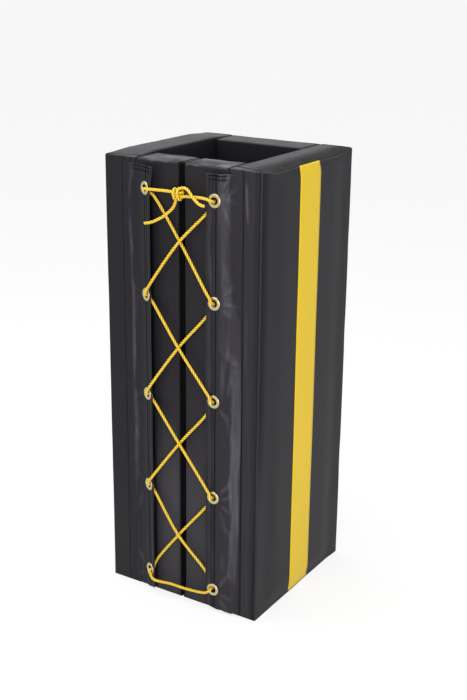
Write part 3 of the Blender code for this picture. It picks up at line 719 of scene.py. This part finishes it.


# %% The five covers
# In these forms rim, strip and the end light are painted highlight, the creases and patches carry painted highlight
# beside their shape, and the shade rules are painted shade.
END, HEM_LINES = [(THICK - 0.014, THICK - 0.014)], [(0.012, 0.012), (THICK - 0.012, THICK - 0.012)]
RIM = {"shoulder": 0.0008, "upright": (HEM_LINES, HEM_LINES), "over_top": ((0.004, 0.004), (0.004, 0.004))}
SIDE = {"width": DEPTH, "crown": 0.003, "wrinkle": 0.0006}
HALF = RIM | {
    "width": HALF_WIDTH, "crown": 0.0008, "edge": (0.011, 0.0045), "shoulder": 0.001, "wrinkle": 0.0026,
    "mesh": 0.0028, "rim": 0.15,
}
covers = {
    "back": cover(
        "back", ("left", "right"), (-BACK_WIDTH / 2, DEPTH - THICK), 0, **RIM,
        width=BACK_WIDTH, seed=1, crown=0.003, wrinkle=0.001, soft=(0.003, 0.003), edge=(0.0045, 0.0045),
    ),
    "left": cover(
        "left_side", ("front", "back"), (-INNER, 0), 90, **SIDE,
        seed=2, soft=(0.004, 0.003), edge=(0.003, 0.0045), shoulder=0.0008, shade=left_shade,
        upright=([(0.0335, 0.0335)], END), over_top=((0.02, 0.003), (0.014, 0.003)),
        strip=(0.3, 0), flare=(0.0036, 0.0018), dome=0.005,
    ),
    "right": cover(
        "right_side", ("front", "back"), (INNER, DEPTH), -90, **SIDE,
        seed=5, soft=(0.003, 0.004), edge=(0.0045, 0.0055), shoulder=0.0105, shade=side_shade,
        upright=(END, [(0.0755, 0.0755), (0.0388, 0.035)]), over_top=((0.014, 0.003), (0.026, 0.003)),
        strip=(0, 0.4), flare=(0.0034, 0.001), pale=(0, 0.12),
        creases=((), ((0.048, 0.945, 0.0418, 1.05, 0.002, 0.0016), (0.046, 0.6, 0.047, 0.76, 0.002, 0.0007))),
    ),
    "left_half": cover(
        "left_front", ("inner", "outer"), (-0.0015, THICK), 180, **HALF, **half_shade("low", 0.42, 0.9),
        seed=9, soft=(0.013, 0.003),
        rubbed=((0.074, 0.037, 0.024, 0.012, 1.3), (0.058, 0.022, 0.03, 0.007, 1.1),
                (0.095, 0.06, 0.02, 0.008, 0.8)),
    ),
    "right_half": cover(
        "right_front", ("inner", "outer"), (0.0015 + HALF_WIDTH, THICK), 180, **HALF, **half_shade("high", 0.34, 0),
        seed=12, soft=(0.003, 0.013),
        rubbed=((0.03, 0.05, 0.026, 0.014, 1.4), (0.074, 0.012, 0.04, 0.005, 1.3),
                (0.064, 0.026, 0.03, 0.005, 1), (0.016, 0.068, 0.016, 0.008, 1.3)),
    ),
}

# %% [markdown]
# ## Stripes
# A stripe is a band of yellow vinyl welded down the middle of an outer face. It is dropped
# onto the finished cover with rays, so it lies flat against the same swell.

# %% Stripes
def skin_of(host):
    return BVHTree.FromPolygons([v.co for v in host.data.vertices], [p.vertices for p in host.data.polygons])


def dropped(skin, place, outward, lift):
    """The point of a skin under a place on the drawing, or None beside it."""
    start = Vector(place) + Vector((0, FRONT_PLANE, 0)) + outward * 0.05
    where = skin.ray_cast(start, -outward)[0]
    return where and where + outward * lift - Vector((0, FRONT_PLANE, 0))


def walled(made, thickness, offset=0):
    wall = made.modifiers.new("wall", "SOLIDIFY")
    wall.thickness, wall.offset = thickness, offset


BAND = 0.093
band_heights = np.concatenate([np.linspace(0.0045, 0.1, 16), np.linspace(0.11, 1, 80), np.linspace(1.005, 1.056, 36)])
for name, middle, turn, body in (
    ("back", (0, DEPTH), 0, "back"), ("left", (-OUTER, DEPTH / 2), 90, "left_side"),
    ("right", (OUTER, DEPTH / 2), -90, "right_side"),
):
    c, s = round(cos(radians(turn))), round(sin(radians(turn)))
    outward, skin = Vector((-s, c, 0)), skin_of(covers[name])
    front = []
    for z in band_heights:
        for u in np.linspace(-BAND / 2, BAND / 2, 13):
            place = Vector((middle[0] + c * u, middle[1] + s * u, z))
            front.append(tuple(dropped(skin, place, outward, 0.0005) or place + outward * 0.002))
    made = piece(name + "_band", front, quads(len(band_heights), 13), STRIPE)
    walled(made, 0.0007, 1)
    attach(made, body)
    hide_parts(name + "_stripe")
    print(made.name, len(made.data.polygons), "faces")

# %% [markdown]
# ## Hinge strips
# Four strips of vinyl join the blocks. They bend when the pad opens; each is made with columns enough to turn
# smoothly.

# %% Hinge strips
LEG, OFF = 0.026, 0.0008
strip_heights = np.linspace(0.008, HEIGHT - 0.016, 60)


def strip(side, end, outline, bodies, turning):
    """A strip through points on the floor plan; turning, where it starts and ends to bend, is not used."""
    outline = [np.array(p) for p in outline]
    plan = [a + (b - a) * k / 8 for a, b in zip(outline, outline[1:]) for k in range(8)] + outline[-1:]
    points = [(x, y, z) for z in strip_heights for x, y in plan]
    made = piece(f"{side}_{end}_strip", points, quads(len(strip_heights), len(plan)), COVER)
    walled(made, VINYL)
    start, finish = ((x, y + FRONT_PLANE, 0.5) for x, y in turning)
    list(bodies)
    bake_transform(made)
    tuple(start)
    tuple(finish)
    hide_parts(f"{side}_{end}_hinge_strip")
    length = sum(np.linalg.norm(b - a) for a, b in zip(outline, outline[1:]))


for side, sign in SIGN.items():
    y = DEPTH + OFF
    strip(side, "back", [(sign * (INNER - LEG), y), (sign * (INNER + LEG), y)], ("back", side + "_side"),
          [(sign * (INNER - 0.003), y), (sign * (INNER + 0.003), y)])
    x, y = sign * (INNER - 0.0003), THICK + OFF
    strip(side, "front", [(x, y + LEG - 0.001), (x, y), (x - sign * (LEG - 0.001), y)],
          (side + "_side", side + "_front"), [(x, y + 0.003), (x - sign * 0.003, y)])

# %% [markdown]
# ## Lacing flaps
# Two strips of single vinyl are sewn to the side blocks and carry the grommets. A load on the
# lace has bent both up: the left one folds along one straight crease, the right one climbs in
# a soft step. A flap is a grid of points on that surface, with a folded hem along its free
# edge and holes where the grommets sit. It isn't simulated as cloth, because every crease is
# placed from the photograph.

# %% The flap's surface
def flap_rise(side, reach, start=0.138, end=0.114):
    """How far the flap's middle surface stands out from the front plane."""
    if side == "left":
        run = np.maximum(0, 0.1195 - reach)
        return OFF + tan(radians(22.8)) * np.where(run < 0.012, run * run / 0.024, run - 0.006)
    slope = tan(radians(2.4)) * np.maximum(0, 0.114 - reach)
    return OFF + 0.0094 * ease((start - reach) / (start - end)) + slope


def belly(side, reach, z):
    """The free edge bellies a little between grommets."""
    loose = ease((0.136 - reach) / (0.136 - EDGE[side]))
    return 0.0012 * loose * (1 - np.cos(2 * pi * (z - FIRST) / PITCH)) / 2


def flap_at(side, reach, z):
    return Vector((SIGN[side] * reach, -flap_rise(side, reach) - belly(side, reach, z), z))


def grommet_heights(side):
    return [FIRST + PITCH * row + SLACK[side][row] for row in range(5)]


def grommet_frames(side):
    """For each grommet its centre and its turn: x to the free edge, y up, z outwards."""
    frames, reach, step = [], REACH[side], 0.001
    for z in grommet_heights(side):
        up = flap_at(side, reach, z + step) - flap_at(side, reach, z - step)
        out = (flap_at(side, reach + step, z) - flap_at(side, reach - step, z)).cross(up).normalized()
        out = out if out.y < 0 else -out
        up = (up - out * up.dot(out)).normalized()
        frames.append((flap_at(side, reach, z), Matrix((up.cross(out), up, out)).transposed()))
    return frames


# %% [markdown]
# The two flaps are bent differently at each height, so their bends are tables: a height, and what the photograph
# shows there. The right one climbs next to its seam low down, and further in near the top. The left one has a pinched
# ridge that wanders down it. The creases are soft ridges and valleys from the grommets to the sewn side, where the
# pull of the lace gathers the vinyl. Climb, ridge and creases also carry painted highlights. All are written in
# millimetres, and the strength of the painted highlights in thousandths.

# %% Bends by height, and creases
RIGHT_CLIMB = np.array([
    # height, where the climb starts, where it ends, how strong the painted highlight on the climb is
    (76, 152.9, 145.7, 100), (108, 152.5, 134.2, 420), (149, 154.8, 138, 500), (188, 155.6, 137.6, 560),
    (228, 157.9, 142.7, 640), (267, 157.3, 142.3, 700), (304, 158.2, 139.1, 700), (341, 157.7, 136, 700),
    (380, 158.5, 138.4, 660), (417, 160.7, 140.6, 700), (454, 161.5, 140.3, 720), (491, 161, 142.5, 660),
    (527, 160.5, 140.8, 540), (564, 160, 143, 480), (598, 159.5, 137.4, 400), (633, 159, 137, 300),
    (663, 157.2, 107.9, 180), (732, 156.3, 107.4, 140), (767, 137.9, 112.4, 240), (801, 133.7, 112.1, 220),
    (867, 130.4, 103.9, 100), (933, 129.7, 102.2, 100), (965, 129.4, 102, 260), (998, 129, 105.6, 420),
    (1030, 125, 102.9, 250), (1066, 124.6, 105.1, 200),
]) / 1000
LEFT_RIDGE = np.array([
    # height, place of the ridge, half width, how strong its painted highlight is
    (22, 125.1, 9.3, 0), (65, 122.7, 9.9, 300), (120, 123.2, 9.2, 80), (228, 130.1, 7.6, 50),
    (268, 130.8, 5.5, 400), (307, 132, 7, 610), (347, 131.1, 7.8, 650), (386, 130.2, 7.8, 840),
    (426, 128.5, 7.7, 960), (464, 129.1, 6.5, 900), (502, 130.2, 6.5, 800), (539, 134.1, 4.4, 520),
    (577, 132.4, 4.7, 1000), (615, 132.4, 5.5, 1000), (651, 131.9, 5.2, 1000), (725, 130, 5.8, 1000),
    (760, 130.6, 5.2, 1000), (795, 134.1, 4.2, 680), (830, 135.5, 4.2, 630), (865, 135.6, 4.2, 980),
    (900, 136.4, 4.2, 930), (934, 137.6, 4.2, 570), (968, 139.6, 4.2, 290), (1002, 136, 5.6, 750),
    (1041, 132.3, 6.1, 600),
]) / 1000
CREASES = {
    # from: reach and height, to: reach and height, half width, rise
    "right": np.array([
        (108.5, 1006, 128, 1060, 2.6, 4), (115, 1002, 134.5, 1058, 4, -1.6), (118, 1000, 146, 1030, 4, 1.2),
        (106.5, 1026, 110, 1058, 1.5, 1.6), (102, 1024, 105, 1050, 1.8, -1.6),
        (113, 1034, 116, 1060, 1.6, -1.8), (116, 998, 146, 992, 5, 1), (112, 980, 130, 930, 5, 1.1),
        (114.7, 783, 139, 811.7, 4, 2), (114.8, 767.5, 148, 765, 3.6, 2.1), (112.3, 756, 135, 738, 3.4, 1.4),
        (110, 800, 116, 850, 4, 1), (113.8, 530, 110, 650, 7.5, 1.4), (113.8, 554.8, 108, 632, 3.4, 1.2),
        (132, 550, 140, 618, 3.2, 1.9), (121.7, 560, 115.7, 655, 3.4, 1.5), (106, 522, 134, 500, 4.6, 1.8),
        (130, 512, 137, 470, 4, 1.2), (125, 600, 128, 700, 3, 1), (110.2, 311.6, 141, 344, 4, 2),
        (115.8, 297.8, 145, 313, 3, 1.8), (113, 290, 141, 292, 2.6, -1.2), (118.6, 283.2, 142, 270, 3.6, 1.7),
        (112, 270, 128, 235, 4, 1.2), (118, 240, 146, 205, 6, 1.2), (109.1, 64.5, 138, 110, 4.5, 1.8),
        (114.8, 50.1, 149, 43, 5, 1.6), (108, 40, 140, 8, 5, 1.8), (120, 160, 124, 110, 5, 1),
    ]) / 1000,
    "left": np.array([
        (102, 1008, 134, 1040, 3.5, 1.2), (104, 760, 138, 776, 3.4, 1.4), (104, 752, 132, 735, 4, 1),
        (104, 516, 134, 500, 4.5, 1.2), (104, 290, 130, 310, 4, 1.2), (104, 270, 128, 200, 6, 1.6),
        (104, 60, 132, 100, 5, 1.4), (104, 45, 136, 20, 5, 1.2),
    ]) / 1000,
}


def by_height(rows, z):
    return (np.interp(z, rows[:, 0], column) for column in rows.T[1:])


def seam_place(side, z):
    return 0.1575 + 0.0035 * ease((0.75 - z) / 0.2) if side == "right" else SEAM_AT + 0 * z


def crease_lift(side, reach, z):
    lift, light = 0 * z, 0 * z
    for r0, z0, r1, z1, width, height in CREASES[side]:
        dr, dz = r1 - r0, z1 - z0
        length = np.hypot(dr, dz)
        along = ((reach - r0) * dr + (z - z0) * dz) / length
        off = ((reach - r0) * dz - (z - z0) * dr) / length
        length *= 1.25
        fan = width * (0.75 + 0.9 * np.clip(along / length, 0, 1))
        shape = ease((along + 0.004) / (0.3 * length)) * ease((length - along) / (0.7 * length)) * groove(off, fan)
        lift += height * shape
        # Painted highlight along the raised creases.
        light += max(0, height) / 0.002 * shape
    return lift, np.clip(light, 0, 1)


# %% One flap
HEM = {"left": EDGE["left"] + 0.0205, "right": EDGE["right"] + 0.025}
HEM_FOLD = {"left": EDGE["left"] + 0.012, "right": EDGE["right"] + 0.017}
HEM_END = {"left": 0.132, "right": 0.124}
# HEM_LIGHT is painted highlight along the hem; BASE_LIGHT is painted shade on the left flap and painted light on the
# right one, beyond the hem.
HEM_LIGHT = {"left": 0.04, "right": 0.3}
BASE_LIGHT = {"left": -0.25, "right": 0.07}
FLAP_LOW, FLAP_TOP, TOP_LINES = 0.006, 1.053, (0.005, 0.013)
FLANGE, HOLE = 0.0165, 0.0095


def flap_height(side, reach, z, lump):
    edge, hem = EDGE[side], HEM[side]
    streaks, fine = lump(0.0055, 0.11, 9), lump(0.01, 0.03, 13)
    near = np.min([np.hypot(reach - REACH[side], z - g) for g in grommet_heights(side)], axis=0)
    over = ease((z - 1.02) / 0.006) * ease((reach - edge - 0.018) / 0.008)
    free = np.maximum(ease((reach - REACH[side] - 0.013) / 0.01), over)
    free *= ease((seam_place(side, z) - 0.0015 - reach) / 0.008)
    lift, light = crease_lift(side, reach, z)
    if side == "right":
        start, end, lit = by_height(RIGHT_CLIMB, z)
        end += 0.0022 * lump(9, 0.045, 0) + 0.0012 * lump(9, 0.014, 5)
        rise = flap_rise(side, reach, start, end)
        band = ease((reach - end + 0.003) / 0.005) * ease((start + 0.003 - reach) / 0.006)
        # Painted highlight on the band where the flap climbs.
        painted_highlight = lit * band * (1 + 0.4 * streaks + 0.45 * lump(0.0032, 0.075, 31))
    else:
        ridge, width, lit = by_height(LEFT_RIDGE, z)
        ridge += 0.001 * lump(9, 0.06, 0)
        bead = groove(reach - ridge, width)
        rise = flap_rise(side, reach) + (0.0004 + 0.001 * lit) * bead
        rise += 0.0012 * ease((ridge - reach) / 0.016) * ease((reach - 0.1045) / 0.01)
        # Painted highlight on the ridge.
        painted_highlight = lit * bead * (0.8 + 0.5 * lump(0.006, 0.03, 31))
    clear = ease((near - FLANGE) / 0.003)
    rise += belly(side, reach, z) + (lift + 0.00045 * streaks + 0.0006 * fine) * free
    rise -= 0.0005 * ease((reach - hem) / 0.0012) * clear
    # dark is painted shade in the grooves of the hem, fold, edge and top hem.
    dark = 0 * z
    for line, depth, painted_shade in ((hem - 0.0015, 0.0022, 1), (HEM_FOLD[side], 0.001, 0.6), (edge + 0.0035, 0.0008, 0.3)):
        rise -= depth * groove(reach - line, 0.001) * clear
        dark += painted_shade * groove(reach - line, 0.002) * clear
    hem_ends = ease((HEM_END[side] - reach) / 0.008)
    across = ease((reach - edge - 0.004) / 0.002) * hem_ends * clear
    for line in TOP_LINES:
        rise -= 0.0012 * groove(FLAP_TOP - z - line, 0.0009) * across
        dark += 0.9 * groove(FLAP_TOP - z - line, 0.0016) * across
    # Painted highlights along the hem and below the top hem.
    hem_light = ease((hem - reach) / 0.002) * ease(0.5 + lump(0.012, 0.09, 21))
    hem_light += groove(reach - hem + 0.0045, 0.0016) * clear
    top_light = 0.22 * ease((z - FLAP_TOP + 0.0095) / 0.001) * hem_ends
    share = np.clip(painted_highlight + 0.45 * light * free + HEM_LIGHT[side] * hem_light + top_light, 0, 1)
    # Painted shade on the left flap and painted light on the right one, beyond the hem.
    share += BASE_LIGHT[side] * ease((reach - hem) / 0.003)
    return rise, share * (1 - np.clip(dark, 0, 1)) - dark, near


def with_lines(low, high, count, lines, spread):
    """Even stations, and five more across each line."""
    beside = np.add.outer(lines, np.linspace(-spread, spread, 5)).ravel()
    return np.unique(np.round(np.concatenate([np.linspace(low, high, count), beside]), 5))


def lacing_flap(side):
    edge, full = EDGE[side], SEAM_AT - EDGE[side]
    hem = HEM[side] - edge
    shares = with_lines(0, full, 54, (0.0035, hem - 0.007, hem - 0.0015), 0.0014)
    heights = with_lines(FLAP_LOW, FLAP_TOP, 400, [FLAP_TOP - line for line in TOP_LINES], 0.0012)
    share, z = (a.ravel() for a in np.meshgrid(shares, heights))
    reach = edge + share + ease((share - 0.03) / (full - 0.03)) * (seam_place(side, z) - SEAM_AT)
    flat, seed = np.column_stack([reach, 0 * z, z]), 3 if side == "right" else 17

    def lump(along, upright, more):
        return rough(flat, (along, 1, upright), seed + more)

    # light carries the flap's painted highlights and painted shade.
    rise, light, near = flap_height(side, reach, z, lump)
    ragged = 0.002 * lump(0.014, 9, 2) + 0.006 * ease((edge + 0.03 - reach) / 0.03)
    high = z + ease((0.06 - z) / 0.06) * ragged + ease((z - FLAP_TOP + 0.05) / 0.05) * 0.0012 * lump(0.02, 9, 4)
    flare = (0.0075 if side == "left" else 0) * ease((z - 0.985) / 0.065) * ease((0.115 - reach) / 0.045)
    points = np.column_stack([SIGN[side] * (reach - flare), -rise, high])
    faces = [q for q in quads(len(heights), len(shares)) if min(near[k] for k in q) > HOLE]
    made = piece(side + "_flap", points, faces if side == "right" else [q[::-1] for q in faces], FLAP, light)
    walled(made, VINYL)
    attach(made, side + "_side")
    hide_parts(side + "_lacing_flap")
    print(made.name, len(faces), "faces")
    return made


flaps = {side: lacing_flap(side) for side in SIGN}

# %% [markdown]
# ## Stitches
# The hems and the sewn edges show rows of stitches. A row is a line of points, found by
# shooting rays at the finished flap. A node tree lays a short stitch at every step along it.

# %% Stitch rows
def copied(tree, points, pattern, turn, size):
    given = {"Points": points, "Instance": pattern, "Rotation": turn, "Scale": size}
    return put(tree, "GeometryNodeInstanceOnPoints", given)[0]


def stitch_tree(look):
    tree, given, result = growing_tree("row_of_stitches", "Pitch", "Thread", "Length")
    steps = walked(tree, given["Geometry"], given["Pitch"])
    way = put(tree, "GeometryNodeInputTangent")[0]
    turn = put(tree, "FunctionNodeAlignRotationToVector", {"Vector": way}, axis="Z")[0]
    bead = put(tree, "GeometryNodeMeshUVSphere", {"Segments": 6, "Rings": 4, "Radius": 1})[0]
    size = put(tree, "ShaderNodeCombineXYZ", {0: given["Thread"], 1: given["Thread"], 2: given["Length"]})[0]
    return close_tree(tree, result, copied(tree, steps, bead, turn, size), look)


def stitch_rows(side):
    """Points and edges of a flap's rows; a grommet's flange breaks a row."""
    skin = skin_of(flaps[side])
    heights = np.linspace(0.012, 1.046, 380)
    rows = [[(place, z) for z in heights] for place in (HEM[side] - 0.0015, SEAM_AT - 0.004)]
    across = np.linspace(EDGE[side] + 0.005, HEM_END[side] - 0.006, 30)
    points, edges = [], []
    for row in [*rows, [(reach, FLAP_TOP - TOP_LINES[1]) for reach in across]]:
        joined = False
        for reach, z in row:
            covered = min(np.hypot(reach - REACH[side], z - g) for g in grommet_heights(side)) <= FLANGE
            at = None if covered else dropped(skin, (SIGN[side] * reach, 0, z), Vector((0, -1, 0)), 0.0002)
            if at:
                edges += [(len(points) - 1, len(points))] * joined
                points.append(tuple(at))
            joined = (joined or at is not None) and not covered
    return points, edges


STITCHES = stitch_tree(THREAD)
for side in SIGN:
    points, edges = stitch_rows(side)
    sizes = {"Pitch": 0.0042, "Thread": 0.00055, "Length": 0.0016}
    stitches = grown(side + "_flap_stitches", points, edges, STITCHES, sizes)
    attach(stitches, side + "_side")

# %% [markdown]
# ## Grommets
# A grommet is two spun brass parts: an eyelet with a domed flange in front, whose barrel goes
# through the vinyl and is curled over a washer behind. One pair is turned, then nodes set a
# copy at every place, each with its own small turn, as a hand press leaves them.

# %% One grommet
def turned(profile, start=0, turns=44):
    """A closed profile of radii and heights, turned about z."""
    angles, count = 2 * pi * np.arange(turns) / turns, len(profile)
    faces = []
    for i in range(turns):
        a, b = start + i * count, start + (i + 1) % turns * count
        faces += [(a + j, a + (j + 1) % count, b + (j + 1) % count, b + j) for j in range(count)]
    return [(r * cos(angle), r * sin(angle), h) for angle in angles for r, h in profile], faces


def grommet_shape():
    """Eyelet and washer about z, with z = 0 in the middle of the vinyl."""
    face, wall, rise, rim, bore = 0.0008, 0.0006, 0.0021, 0.0155, 0.00795
    back = -(face + wall + 0.0003)
    dome = [
        ((rim + bore) / 2 - (rim - bore) / 2 * cos(a), face + rise * sin(a) ** 0.8) for a in pi * np.arange(13) / 12
    ]
    curl = [(bore + 0.0028 + 0.002 * cos(a), back - 0.0001 - 0.0005 * sin(a)) for a in np.linspace(0.1, pi - 0.1, 7)]
    eyelet, faces = turned([(bore + wall, face), (bore + wall, back), *curl, (bore, back + 0.0003), *dome])
    inner = bore + 0.0009
    washer, more = turned(
        [(inner, -face), (inner, -face - wall), (0.014, -face - wall), (0.0148, -face - 0.0004), (0.015, -face)],
        len(eyelet),
    )
    mesh = bpy.data.meshes.new("grommet")
    mesh.from_pydata(eyelet + washer, [], faces + more)
    faced_outwards(mesh)
    return bpy.data.objects.new("grommet", mesh)


# %% Grommets set by nodes
def set_tree(look):
    tree, given, result = growing_tree("set_in_place", "Size", Pattern="Object")
    pattern = put(tree, "GeometryNodeObjectInfo", {"Object": given["Pattern"]})["Geometry"]
    turn = put(tree, "GeometryNodeInputNamedAttribute", {"Name": "turn"}, data_type="FLOAT_VECTOR")[0]
    return close_tree(tree, result, copied(tree, given["Geometry"], pattern, turn, given["Size"]), look)


pattern, setting = grommet_shape(), set_tree(BRASS)
chance = np.random.default_rng(5)
for side in SIGN:
    frames = grommet_frames(side)
    turns = [(m @ Matrix.Rotation(chance.uniform(0, 2 * pi), 3, "Z")).to_euler() for _, m in frames]
    places, sizes = [tuple(at) for at, _ in frames], {"Pattern": pattern, "Size": 1.0}
    made = grown(side + "_grommets", places, [], setting, sizes, [tuple(t) for t in turns])
    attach(made, side + "_side")
    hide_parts(*(f"{side}_{part}_{row}" for part in ("eyelet", "washer") for row in range(1, 6)))
